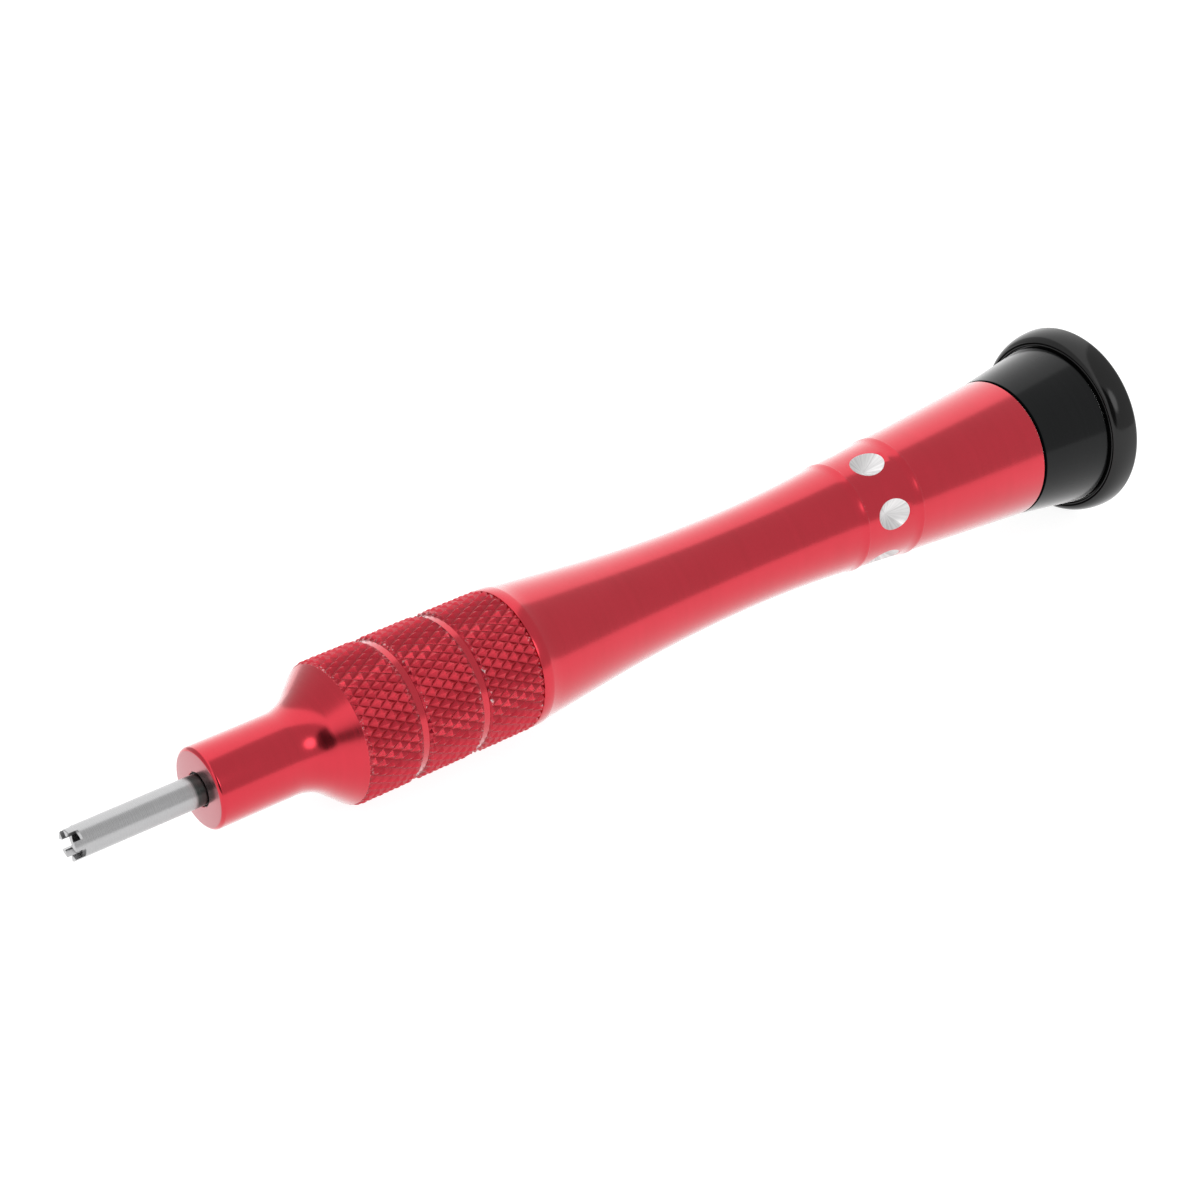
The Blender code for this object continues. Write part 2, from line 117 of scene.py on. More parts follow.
def sweep(outline, steps, closed=False):
    """Spin an outline of (radius, station) points once round the axis."""
    shape = bmesh.new()
    corners = [shape.verts.new((radius, 0, station)) for radius, station in outline]
    lines = [shape.edges.new(pair) for pair in zip(corners, corners[1:])]
    if closed:
        lines.append(shape.edges.new((corners[-1], corners[0])))
    bmesh.ops.spin(shape, geom=corners + lines, cent=(0, 0, 0), axis=(0, 0, 1), dvec=(0, 0, 0),
                   angle=2 * pi, steps=steps, use_merge=True, use_duplicate=False)
    bmesh.ops.remove_doubles(shape, verts=shape.verts, dist=CLOSE)
    return shape


def turn(outline, steps=TURN_STEPS, closed=False):
    """Turn an outline into a closed skin whose faces all look outwards."""
    shape = sweep(outline, steps, closed)
    bmesh.ops.recalc_face_normals(shape, faces=shape.faces)
    return shape


def soften(shape, corners, size):
    """Round the rings of edges at these (radius, station) corners."""
    def on_corner(vert):
        return any(abs(hypot(vert.co.x, vert.co.y) - radius) < CLOSE and abs(vert.co.z - station) < CLOSE
                   for radius, station in corners)

    def level(first, second):
        return abs(first.co.z - second.co.z) < CLOSE

    rings = [edge for edge in shape.edges
             if all(on_corner(vert) for vert in edge.verts) and level(*edge.verts)]
    bmesh.ops.bevel(shape, geom=rings, offset=size, offset_type='OFFSET', segments=3, profile=0.5,
                    affect='EDGES', clamp_overlap=True, material=-1)


def shade(mesh, sharp=SHARP):
    """Shade a mesh smooth, except where two faces meet at more than this many degrees."""
    mesh.shade_smooth()
    mesh.set_sharp_from_angle(angle=radians(sharp))


def to_object(name, shape, material, sharp=SHARP):
    """An object in the tool's own millimetres, made from a finished shape."""
    mesh = bpy.data.meshes.new(name)
    shape.to_mesh(mesh)
    shape.free()
    mesh.materials.append(material)
    shade(mesh, sharp)
    piece = bpy.data.objects.new(name, mesh)
    bpy.context.scene.collection.objects.link(piece)
    return piece


def place(piece, body, node):
    """Lay a finished piece on the ground, tie it to its body and hide the plain one."""
    piece.data.transform(TOOL)
    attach(piece, body)
    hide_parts(node)
    piece.data.update()
    triangles = sum(len(face.vertices) - 2 for face in piece.data.polygons)
    print(f"{piece.name}: {triangles} triangles")


# %% [markdown]
# ## Cutting
# Holes, slots and drilled dimples are cut as in the workshop, by a tool of the right shape.
# A Boolean modifier does the cut, and we keep its result and throw the cutter away.
# `material_mode` TRANSFER gives the fresh cut the cutter's own finish, which a dimple in dyed metal needs.

# %% A cutting helper
def carve(piece, cutters):
    """Cut a piece with each cutter in turn, keep the result and remove the cutters."""
    for cutter in cutters:
        cut = piece.modifiers.new("Cut", 'BOOLEAN')
        cut.operation = 'DIFFERENCE'
        cut.solver = 'EXACT'
        cut.material_mode = 'TRANSFER'
        cut.object = cutter
    bpy.context.view_layer.update()
    done = bpy.data.meshes.new_from_object(piece.evaluated_get(bpy.context.evaluated_depsgraph_get()))
    piece.modifiers.clear()
    piece.data = done
    for cutter in cutters:
        bpy.data.objects.remove(cutter)
    shade(done)


# %% [markdown]
# ## Reading a place on the tool inside a material
# Turning marks run round the axis and drilled marks run out from each dimple.
# Both follow the tool, so each material starts from Object coordinates.
# A Mapping node of type TEXTURE then undoes the lean and gives the tool's own millimetres.
# A constant such as roughness stays on the shader's socket, and only what varies gets a wire.
# The plain node helpers come first, because the world is made of nodes too.

# %% Small node and material builders
class Nodes:
    """Short ways to add nodes to one tree."""

    def __init__(self, tree):
        self.tree = tree

    def wire(self, source, socket):
        self.tree.links.new(source, socket)

    def feed(self, sockets, values):
        """Give each socket a number, a colour or another node's output."""
        for socket, value in zip(sockets, values):
            if isinstance(value, (int, float)):
                socket.default_value = value
            elif isinstance(value, tuple):
                socket.default_value = (*value, 1)
            else:
                self.wire(value, socket)

    def math(self, operation, *values, clamp=False):
        """One Math node; each value is a number or another node's output."""
        node = self.tree.nodes.new("ShaderNodeMath")
        node.operation = operation
        node.use_clamp = clamp
        self.feed(node.inputs, values)
        return node.outputs[0]

    def times(self, first, second, clamp=False):
        return self.math('MULTIPLY', first, second, clamp=clamp)

    def weigh(self, first, share, second):
        """A sum in which the first value has this share and the second has the rest."""
        return self.math('ADD', self.times(first, share), self.times(second, 1 - share))

    def spread(self, value, low, high, to_low=0.0, to_high=1.0, smooth=False):
        """Stretch a value from one range to another."""
        node = self.tree.nodes.new("ShaderNodeMapRange")
        node.interpolation_type = 'SMOOTHSTEP' if smooth else 'LINEAR'
        self.wire(value, node.inputs["Value"])
        ends = [node.inputs[end] for end in ("From Min", "From Max", "To Min", "To Max")]
        self.feed(ends, (low, high, to_low, to_high))
        return node.outputs["Result"]

    def mix(self, factor, first, second):
        """Blend two colours; each is a colour or another node's output."""
        node = self.tree.nodes.new("ShaderNodeMix")
        node.data_type = 'RGBA'
        self.wire(factor, node.inputs["Factor"])
        self.feed((node.inputs[6], node.inputs[7]), (first, second))
        return node.outputs[2]


class Finish(Nodes):
    """A material whose nodes can read the tool's own millimetres."""

    def __init__(self, name, colour, metallic=0.0, roughness=0.4, **sockets):
        self.material = bpy.data.materials.new(name)
        self.material.use_nodes = True
        super().__init__(self.material.node_tree)
        self.shader = self.tree.nodes["Principled BSDF"]
        self.shader.inputs["Base Color"].default_value = (*colour, 1)
        self.shader.inputs["Metallic"].default_value = metallic
        self.shader.inputs["Roughness"].default_value = roughness
        for socket, value in sockets.items():
            self.shader.inputs[socket.replace("_", " ")].default_value = value
        where = self.tree.nodes.new("ShaderNodeTexCoord")
        self.local = self.tree.nodes.new("ShaderNodeMapping")
        self.local.vector_type = 'TEXTURE'
        self.local.inputs["Location"].default_value = TIP
        self.local.inputs["Rotation"].default_value = TOOL.to_3x3().normalized().to_euler()
        self.local.inputs["Scale"].default_value = (MM, MM, MM)
        self.wire(where.outputs["Object"], self.local.inputs["Vector"])
        split = self.tree.nodes.new("ShaderNodeSeparateXYZ")
        self.wire(self.local.outputs["Vector"], split.inputs["Vector"])
        self.x, self.y, self.station = split.outputs

    def drive(self, socket, source):
        """Let a node's output set one of the shader's sockets."""
        self.wire(source, self.shader.inputs[socket])

    def noise(self, scale, detail=2.0, vector=None, along=None, roughness=0.5):
        """Noise over the tool's space, over a given vector, or in rings along the axis alone."""
        node = self.tree.nodes.new("ShaderNodeTexNoise")
        node.noise_dimensions = '1D' if along is not None else '3D'
        node.inputs["Scale"].default_value = scale
        node.inputs["Detail"].default_value = detail
        node.inputs["Roughness"].default_value = roughness
        if along is not None:
            self.wire(along, node.inputs["W"])
        else:
            self.wire(vector or self.local.outputs["Vector"], node.inputs["Vector"])
        return node.outputs["Fac"]

    def radius(self):
        """The distance from the axis."""
        squares = [self.times(side, side) for side in (self.x, self.y)]
        return self.math('SQRT', self.math('ADD', *squares))

    def bump(self, height, strength, depth):
        """Raise the surface by height times depth, in millimetres, as far as strength allows."""
        node = self.tree.nodes.new("ShaderNodeBump")
        node.inputs["Strength"].default_value = strength
        node.inputs["Distance"].default_value = depth * MM
        self.wire(height, node.inputs["Height"])
        self.drive("Normal", node.outputs["Normal"])


# %% [markdown]
# ## Dyed aluminium
# Anodising grows a thin clear layer on the metal and dye sits inside it.
# Light that reaches the metal comes back red, and light that only meets the skin comes back white.
# A metallic base with a red tint gives the first, and a thin coat gives the second, strongest at a glance.
# The turning tool leaves rings far finer than a hair, so they are noise along the axis and a faint bump.

# %% Red anodised metal
RED = (0.60, 0.006, 0.028)
DEEP_RED = (0.55, 0.004, 0.022)
FACED_RED = (0.44, 0.100, 0.120)
BARE = (0.66, 0.64, 0.63)
SMOOTH_ROUGHNESS = 0.20


def turning_rings(finish, fine=9.0, coarse=1.4):
    """Rings left by the turning tool: fine ones with slow drift over them."""
    rings = finish.noise(fine, detail=3.0, along=finish.station)
    drift = finish.noise(coarse, detail=1.0, along=finish.station)
    return finish.weigh(rings, 0.7, drift)


def red_anodised():
    """The turned skin. Its end face, at the nose, is faced flat and paler."""
    finish = Finish("red_anodised_turned", RED, metallic=1.0, roughness=SMOOTH_ROUGHNESS,
                    Coat_Weight=1.0, Coat_Roughness=0.2, Sheen_Weight=1.0, Sheen_Roughness=0.25)
    rings = turning_rings(finish)
    tone = finish.weigh(rings, 0.6, finish.noise(0.35, detail=3.0))
    red_tone = finish.mix(finish.spread(tone, 0.35, 0.65), DEEP_RED, RED)
    faced = finish.spread(finish.station, NOSE + 0.03, NOSE + 0.01)
    finish.drive("Base Color", finish.mix(faced, red_tone, FACED_RED))
    finish.drive("Roughness",
                 finish.spread(rings, 0.3, 0.7, SMOOTH_ROUGHNESS - 0.03, SMOOTH_ROUGHNESS + 0.04))
    finish.bump(rings, 0.35, 0.004)
    return finish


smooth_red = red_anodised()
print("made", smooth_red.material.name)

# %% [markdown]
# ## The same dye on the knurl
# A knurl is pressed, not cut, so its slopes are a little rough. Its grooves are painted a darker red, as
# painted shade.
# Its crests rub first: along the edge of each band a few of them show bare metal.
# The material reads the radius and the station, so it knows crest from groove and edge from middle.
# Three masks multiply: near an edge, in a worn patch, and on a speck. A few stray specks lie elsewhere.

# %% Knurled red
GRIP_RADIUS = 6.15
KNURL_DEPTH = 0.24
GROOVE_STATIONS = (28.95, 34.95)
GROOVE_WIDTH = 0.60
GRIP_START = 24.01
KNURL_START = 23.42
RIDGE_STATION = 41.60
RIDGE_WIDTH = 0.98
BAND_EDGES = [KNURL_START,
              GROOVE_STATIONS[0] - GROOVE_WIDTH / 2, GROOVE_STATIONS[0] + GROOVE_WIDTH / 2,
              GROOVE_STATIONS[1] - GROOVE_WIDTH / 2, GROOVE_STATIONS[1] + GROOVE_WIDTH / 2,
              RIDGE_STATION - RIDGE_WIDTH]
BANDS = list(zip(BAND_EDGES[::2], BAND_EDGES[1::2]))
# Painted shade: the darker red the colour takes down in the knurl's grooves.
VALLEY_SHADE_RED = (0.42, 0.010, 0.026)
CREST_RED = (0.58, 0.018, 0.038)
EDGE_WEAR = 0.44
STRAY_WEAR = 0.6


def knurled_red():
    finish = Finish("red_anodised_knurl", DEEP_RED, metallic=1.0, roughness=0.32, Coat_Weight=0.5,
                    Coat_Roughness=0.25, Sheen_Weight=0.2, Sheen_Roughness=0.3)
    crest = finish.spread(finish.radius(), GRIP_RADIUS - KNURL_DEPTH, GRIP_RADIUS)
    # Painted shade: the colour darkens from the crests down into the grooves.
    red_tone = finish.mix(crest, VALLEY_SHADE_RED, CREST_RED)
    near_edge = None
    for edge in BAND_EDGES:
        gap = finish.math('ABSOLUTE', finish.math('SUBTRACT', finish.station, edge))
        near_edge = gap if near_edge is None else finish.math('MINIMUM', near_edge, gap)
    at_edge = finish.spread(near_edge, EDGE_WEAR, 0.04)
    patches = finish.spread(finish.noise(0.45, detail=2.0), 0.44, 0.60)
    specks = finish.spread(finish.noise(3.4, detail=5.0, roughness=0.75), 0.54, 0.62)
    worn = finish.times(finish.times(at_edge, patches),
                        finish.times(specks, finish.spread(crest, 0.02, 0.22)), clamp=True)
    stray = finish.times(finish.spread(finish.noise(1.1, detail=5.0, roughness=0.7), 0.68, 0.74),
                         finish.spread(crest, 0.7, 1.0), clamp=True)
    bare = finish.math('MAXIMUM', worn, finish.times(stray, STRAY_WEAR))
    finish.drive("Base Color", finish.mix(bare, red_tone, BARE))
    finish.drive("Roughness", finish.spread(finish.noise(5.0, detail=3.0), 0.3, 0.7, 0.27, 0.42))
    finish.bump(finish.noise(7.0, detail=3.0), 0.5, 0.02)
    return finish


knurl_red = knurled_red()
print("bands:", ", ".join(f"{front:.2f} to {back:.2f} mm" for front, back in BANDS))

# %% [markdown]
# ## Bare metal in the dimples
# The dimples are drilled after dyeing, so they shine like fresh aluminium.
# A drill point leaves fine marks; here they are a fan of streaks that all meet at the bottom of the cone,
# painted into the colour as painted highlight and shade, and into the roughness and bump.
# The six dimples are evenly spaced, so wrapping the angle round the tool brings them all to one place.
# There the direction from the dimple's middle, at unit length, gives noise that changes only round it.

# %% Drilled aluminium
DIMPLE_COUNT = 6
DIMPLE_STATION = 80.85
DIMPLE_DEPTH = 1.01
DIMPLE_POINT_ANGLE = 118.0
DIMPLE_PHASE = 15.4
DIMPLE_SPACING = 2 * pi / DIMPLE_COUNT
# Painted highlight and shade: the dark and light tones of the fan's streaks.
FAN_SHADE = (0.60, 0.59, 0.59)
FAN_HIGHLIGHT = (0.82, 0.81, 0.81)


def drilled_aluminium(surface_radius):
    finish = Finish("bare_aluminium_drilled", BARE, metallic=1.0, roughness=0.42)
    turned_by = finish.math('SUBTRACT', finish.math('ARCTAN2', finish.y, finish.x), radians(DIMPLE_PHASE))
    wrapped = finish.math('WRAP', turned_by, DIMPLE_SPACING / 2, -DIMPLE_SPACING / 2)
    joined = finish.tree.nodes.new("ShaderNodeCombineXYZ")
    finish.wire(finish.times(wrapped, surface_radius), joined.inputs["X"])
    finish.wire(finish.math('SUBTRACT', finish.station, DIMPLE_STATION), joined.inputs["Y"])
    unit = finish.tree.nodes.new("ShaderNodeVectorMath")
    unit.operation = 'NORMALIZE'
    finish.wire(joined.outputs["Vector"], unit.inputs[0])
    fan = finish.noise(5.0, detail=4.0, vector=unit.outputs["Vector"], roughness=0.7)
    # Painted highlight and shade: the fan's streaks are painted as light and dark tones in the colour.
    finish.drive("Base Color", finish.mix(finish.spread(fan, 0.36, 0.60), FAN_SHADE, FAN_HIGHLIGHT))
    finish.drive("Roughness", finish.spread(fan, 0.3, 0.7, 0.50, 0.36))
    finish.bump(fan, 0.4, 0.03)
    return finish


# %% [markdown]
# ## The handle
# The handle is one bar: a straight nose, a hollow flare, the grip, a long waist and a tail with two rings.
# We write its half section from the tail to the nose, with the waist as a smooth formula, and turn it.
# The grip's own surface stays low here, at the floor of its grooves, because the knurled bands sit on it.

# %% The handle's section
WAIST = 65.9
WAIST_RADIUS = 4.37
WAIST_FRONT = 16.5
WAIST_BACK = 9.8
RIDGE_RADIUS = GRIP_RADIUS - 0.05
RIDGE_STEP = 0.10
RIDGE_RUN = 0.35
RIDGE_ROUND = 0.10
GROOVE_FLOOR = GRIP_RADIUS - 0.30
TAPER_BACK = (TAIL_RADIUS - WAIST_RADIUS) / (TAIL - WAIST - WAIST_BACK / 2)
TAPER_FRONT = (RIDGE_RADIUS - RIDGE_STEP - WAIST_RADIUS) / (WAIST - RIDGE_STATION - WAIST_FRONT / 2)
TAIL_EDGE = 0.06
RING_STATIONS = (84.35, 78.10)
RING_WIDTH = 1.05
RING_HEIGHT = 0.14
RING_BACK = 0.07
RING_ROUND = 0.03
WAIST_STEPS = 44


def handle_radius(station):
    """The plain handle behind the grip: a taper, a waist of two curves, and a taper back out."""
    behind = station - WAIST
    if behind >= WAIST_BACK:
        return WAIST_RADIUS + TAPER_BACK * (behind - WAIST_BACK / 2)
    if behind >= 0:
        return WAIST_RADIUS + TAPER_BACK * behind ** 2 / (2 * WAIST_BACK)
    if behind >= -WAIST_FRONT:
        return WAIST_RADIUS + TAPER_FRONT * behind ** 2 / (2 * WAIST_FRONT)
    return WAIST_RADIUS + TAPER_FRONT * (-behind - WAIST_FRONT / 2)


def tail_outline():
    """From the tail's end down to the ridge behind the grip, with the two raised rings."""
    points = [(TAIL_RADIUS - TAIL_EDGE, TAIL), (handle_radius(TAIL - TAIL_EDGE), TAIL - TAIL_EDGE)]
    for crest in RING_STATIONS:
        foot = crest - RING_WIDTH
        points += [(handle_radius(crest + RING_BACK), crest + RING_BACK),
                   (handle_radius(crest) + RING_HEIGHT, crest)]
        points += [(handle_radius(foot + RING_WIDTH * share) + RING_HEIGHT * share ** 2,
                    foot + RING_WIDTH * share) for share in (0.75, 0.5, 0.25, 0)]
    last_ring, ridge_foot = points[-1][1], RIDGE_STATION + RIDGE_RUN
    for i in range(1, WAIST_STEPS):
        station = last_ring + (ridge_foot - last_ring) * i / WAIST_STEPS
        points.append((handle_radius(station), station))
    return points + [(RIDGE_RADIUS - RIDGE_STEP, ridge_foot), (RIDGE_RADIUS, RIDGE_STATION)]


# %% [markdown]
# The front half: the ridge, the low core under the knurl, the rounded shoulder, the flare and the nose.
# The flare is an arc that leaves the nose straight and reaches the shoulder at its own slope.

# %% The grip's core, the flare and the nose
NOSE_RADIUS = 3.42
NOSE_LENGTH = 7.35
NOSE_CHAMFER = 0.22
NOSE_ROUND = 0.11
FLARE_RADIUS = 4.5
FLARE_LEAN = 41.0
SHOULDER_ROUND = 0.9
BLADE_GAP = 0.15
BORE_MOUTH = 0.05
BORE_SPARE = 0.3
SPIGOT_RADIUS = 4.25


def front_outline():
    """From the ridge behind the grip down to the edge of the nose's flat face."""
    band_end = RIDGE_STATION - RIDGE_WIDTH
    shoulder = (GRIP_RADIUS - SHOULDER_ROUND * (1 - cos(radians(FLARE_LEAN))), KNURL_START)
    points = [(RIDGE_RADIUS, band_end + 0.2), (RIDGE_RADIUS - 0.05, band_end + 0.06),
              (RIDGE_RADIUS - 0.17, band_end), (GROOVE_FLOOR, band_end),
              (GROOVE_FLOOR, KNURL_START + 0.3), shoulder]
    points += arc(NOSE_RADIUS + FLARE_RADIUS, NOSE + NOSE_LENGTH, FLARE_RADIUS, 180 - FLARE_LEAN, 180, 24)
    points += [(NOSE_RADIUS, NOSE + 4.0), (NOSE_RADIUS, NOSE + NOSE_CHAMFER),
               (NOSE_RADIUS - NOSE_CHAMFER, NOSE)]
    return points


def handle_shape():
    """The whole bar, bored at the tail for the neck's spigot and at the nose for the blade."""
    tail_floor = SPIGOT_END - BORE_SPARE
    blade_bore = BLADE_RADIUS + BLADE_GAP
    blade_floor = TANG_END + BORE_SPARE
    outline = [(0, tail_floor), (SPIGOT_RADIUS, tail_floor), (SPIGOT_RADIUS, TAIL)]
    outline += tail_outline() + front_outline()
    outline += [(blade_bore + BORE_MOUTH, NOSE), (blade_bore, NOSE + BORE_MOUTH),
                (blade_bore, blade_floor), (0, blade_floor)]
    shape = turn(outline)
    soften(shape, [(RIDGE_RADIUS, RIDGE_STATION)], RIDGE_ROUND)
    soften(shape, [(handle_radius(crest) + RING_HEIGHT, crest) for crest in RING_STATIONS], RING_ROUND)
    soften(shape, [(NOSE_RADIUS, NOSE + NOSE_CHAMFER), (NOSE_RADIUS - NOSE_CHAMFER, NOSE)], NOSE_ROUND)
    return shape


# %% [markdown]
# ## Drilling the dimples
# A drill's point is a cone, so a cone is the cutter, one for each dimple, standing out from the axis.

# %% Make the handle
def dimple_drill(number, material):
    """A cone with its point at the bottom of one dimple and its base in the open air."""
    reach = DIMPLE_DEPTH + 1.0
    shape = bmesh.new()
    bmesh.ops.create_cone(shape, cap_ends=True, segments=64, radius1=0.0,
                          radius2=reach * tan(radians(DIMPLE_POINT_ANGLE / 2)), depth=reach)
    bmesh.ops.remove_doubles(shape, verts=shape.verts, dist=CLOSE)
    middle = handle_radius(DIMPLE_STATION) - DIMPLE_DEPTH + reach / 2
    outwards = Matrix.Rotation(radians(DIMPLE_PHASE) + DIMPLE_SPACING * number, 4, 'Z')
    stand = Matrix.Translation((middle, 0, DIMPLE_STATION)) @ Matrix.Rotation(pi / 2, 4, 'Y')
    bmesh.ops.transform(shape, matrix=outwards @ stand, verts=shape.verts)
    return to_object(f"dimple_drill_{number + 1}", shape, material)


drilled = drilled_aluminium(handle_radius(DIMPLE_STATION))
handle = to_object("handle_turned", handle_shape(), smooth_red.material)
carve(handle, [dimple_drill(number, drilled.material) for number in range(DIMPLE_COUNT)])
place(handle, "handle", "handle_body")

# %% [markdown]
# ## The knurled grip
# Two wheels press crossing spiral grooves into the bar and leave rows of small raised diamonds.
# A bump map would look flat at the edge of the grip, so each diamond is real.
# The trick is a grid of plain cells round the bar: `poke` puts a point in the middle of each cell.
# Dissolving the old cell edges then leaves diamonds, each as wide and as tall as a cell.
# `inset_individual` raises every diamond on its own slopes, and the valleys between them are the grooves.
# Two flat cuts trim the band, so the diamonds at its edges are cut through, as a lathe tool would do it.

# %% Press a knurl
KNURL_STARTS = 42
KNURL_PITCH = 1.632
SLOPE = 0.33
RISE = 0.24
CROWN = 0.04
CROWN_RISE = 0.01
EDGE_LAND = 0.25
EDGE_DROP = 0.28
UNEVEN = (-0.018, 0.012)
SMALL_TURN = 0.01
HAND = Random(7)


def knurl_blank(front, back):
    """Diamonds round the bar at the groove floor, a little longer than the band."""
    first = GRIP_START - 2 * KNURL_PITCH
    rows = int((back - first) / KNURL_PITCH) + 2
    floor = GRIP_RADIUS - RISE - CROWN_RISE
    shape = sweep([(floor, first + KNURL_PITCH * row) for row in range(rows + 1)], KNURL_STARTS)
    cell_edges = [edge for edge in shape.edges if len(edge.link_faces) == 2]
    middles = bmesh.ops.poke(shape, faces=shape.faces)["verts"]
    for vert in middles:
        vert.co.xy = vert.co.xy.normalized() * floor
    bmesh.ops.dissolve_edges(shape, edges=cell_edges, use_verts=False, use_face_split=False)
    spare = [face for face in shape.faces
             if not front - KNURL_PITCH < face.calc_center_median().z < back + KNURL_PITCH]
    bmesh.ops.delete(shape, geom=spare, context='FACES')
    bmesh.ops.recalc_face_normals(shape, faces=shape.faces)
    return shape


def shoulder_radius(station):
    """The rounded shoulder at the grip's front end, which the knurl runs over."""
    ahead = max(0, GRIP_START - station)
    return GRIP_RADIUS - SHOULDER_ROUND + (SHOULDER_ROUND ** 2 - ahead ** 2) ** 0.5


def edge_radius(station):
    """The slope down to the nearest groove."""
    inside = min(abs(station - edge) for edge in BAND_EDGES[1:-1])
    return GRIP_RADIUS - EDGE_DROP * max(0, 1 - inside / EDGE_LAND)


def bar_order(face):
    """A key that sorts faces by station, then by angle, so every run deals out the same heights."""
    middle = face.calc_center_median()
    return round(middle.z, 2), (atan2(middle.y, middle.x) + SMALL_TURN) % (2 * pi)


def knurl_band(front, back):
    """Raised diamonds, cut off at both ends and cut once more where each end starts to slope down."""
    shape = knurl_blank(front, back)
    diamonds = sorted(shape.faces, key=bar_order)
    for thickness, depth in ((SLOPE, RISE), (CROWN, CROWN_RISE)):
        bmesh.ops.inset_individual(shape, faces=diamonds, thickness=thickness, depth=depth,
                                   use_even_offset=True)
    for diamond in diamonds:
        shift = HAND.uniform(*UNEVEN)
        bmesh.ops.translate(shape, verts=diamond.verts, vec=diamond.normal * shift)
    for station, outwards in ((front, -1), (back, 1)):
        for inset, clear in ((0, True), (EDGE_LAND, False)):
            everything = shape.verts[:] + shape.edges[:] + shape.faces[:]
            bmesh.ops.bisect_plane(shape, geom=everything, dist=0.0001, clear_outer=clear,
                                   plane_co=(0, 0, station - outwards * inset), plane_no=(0, 0, outwards))
    for vert in shape.verts:
        limit = min(shoulder_radius(vert.co.z), edge_radius(vert.co.z))
        if vert.co.xy.length > limit:
            vert.co.xy = vert.co.xy.normalized() * limit
    return shape


# %% [markdown]
# ## Closing each band
# A trimmed band is an open skin. Its two rims are extruded inwards to just under the handle's core.
# Then the two inner rings are bridged, so the band is a closed ring that sits on the handle.

# %% Make the three bands
INNER = GROOVE_FLOOR - 0.15
BAND_SHARP = 18.0


def close_band(shape):
    """Turn both rims inwards and join them, so the band has no open edge."""
    rims = [edge for edge in shape.edges if edge.is_boundary]
    grown = bmesh.ops.extrude_edge_only(shape, edges=rims)["geom"]
    for vert in (item for item in grown if isinstance(item, bmesh.types.BMVert)):
        vert.co.xy = vert.co.xy.normalized() * INNER
    inner_rims = [edge for edge in shape.edges if edge.is_boundary]
    bmesh.ops.bridge_loops(shape, edges=inner_rims)
    bmesh.ops.recalc_face_normals(shape, faces=shape.faces)
    open_edges = sum(not edge.is_manifold for edge in shape.edges)
    print("open edges left:", open_edges)
    return shape


for name, (front, back) in zip(("knurl_front", "knurl_middle", "knurl_rear"), BANDS):
    band = to_object(name, close_band(knurl_band(front, back)), knurl_red.material, BAND_SHARP)
    place(band, "handle", "handle_body")

# %% [markdown]
# ## The blade
# The blade is a ground steel pin, hollow at the end, with five slots milled across its rim.
# The five prongs that are left drop into the notches of a crown or a spring-loaded collar.
# Its steel carries fine grinding marks that run round it. Where it enters the nose its colour is painted
# dark, as painted shade and reflection of the bore.

# %% Ground steel
BORE_RADIUS = 0.80
BORE_DEPTH = 6.0
PRONG_COUNT = 5
PRONG_LENGTH = 0.83
SLOT_WIDTH = 0.82
SLOT_PHASE = 69.4
STEEL = (0.46, 0.46, 0.465)
STEEL_MARK = (0.43, 0.43, 0.435)
# Painted shade: the dark tone the blade's colour takes where it enters the nose.
BORE_SHADE_TONE = (0.09, 0.115, 0.11)
BORE_SHADE_FULL = NOSE - 0.70
BORE_SHADE_END = NOSE - 1.05


def ground_steel(name, light, dark, roughness, ring_scale, **sockets):
    """Metal with fine marks that run round the axis, and a slow cloud over them."""
    finish = Finish(name, light, metallic=1.0, roughness=roughness, **sockets)
    rings = finish.noise(ring_scale, detail=4.0, along=finish.station)
    tone = finish.weigh(rings, 0.65, finish.noise(1.3, detail=3.0))
    finish.drive("Base Color", finish.mix(finish.spread(tone, 0.36, 0.62), dark, light))
    finish.drive("Roughness", finish.spread(rings, 0.3, 0.7, roughness - 0.05, roughness + 0.07))
    finish.bump(rings, 0.08, 0.002)
    return finish


def paint_shade(finish, full, end, tone):
    """Lay a dark tone of painted shade over a finish: full from one station inwards, and gone at the end
    station.
    """
    clean = finish.shader.inputs["Base Color"].links[0].from_socket
    mask = finish.spread(finish.station, end, full, smooth=True)
    finish.drive("Base Color", finish.mix(mask, clean, tone))


blade_steel = ground_steel("blade_steel_ground", STEEL, STEEL_MARK, 0.28, 30.0,
                           Sheen_Weight=0.8, Sheen_Roughness=0.25)
# Painted shade and reflection: the blade's colour goes dark where it enters the nose bore.
paint_shade(blade_steel, BORE_SHADE_FULL, BORE_SHADE_END, BORE_SHADE_TONE)


def blade_shape():
    """A pin with its rims broken, and a drilled bore with a pointed floor."""
    edge = 0.05
    outline = [(0, TANG_END), (BLADE_RADIUS - edge, TANG_END), (BLADE_RADIUS, TANG_END - edge),
               (BLADE_RADIUS, edge), (BLADE_RADIUS - edge, 0), (BORE_RADIUS, 0), (BORE_RADIUS, BORE_DEPTH),
               (0, BORE_DEPTH + BORE_RADIUS / 2)]
    return turn(outline, steps=96)


def slot_mill(number, material):
    """A block that mills one slot through the bore's wall and across the rim."""
    inner, outer = BORE_RADIUS / 2, BLADE_RADIUS * 1.5
    shape = bmesh.new()
    bmesh.ops.create_cube(shape, size=1.0)
    bmesh.ops.scale(shape, vec=(outer - inner, SLOT_WIDTH, 2 * PRONG_LENGTH), verts=shape.verts)
    bmesh.ops.translate(shape, vec=((inner + outer) / 2, 0, 0), verts=shape.verts)
    swing = Matrix.Rotation(radians(SLOT_PHASE + 360 * number / PRONG_COUNT), 4, 'Z')
    bmesh.ops.transform(shape, matrix=swing, verts=shape.verts)
    return to_object(f"slot_mill_{number + 1}", shape, material)


blade = to_object("blade_five_prong", blade_shape(), blade_steel.material)
carve(blade, [slot_mill(number, blade_steel.material) for number in range(PRONG_COUNT)])
place(blade, "handle", "driver_blade")
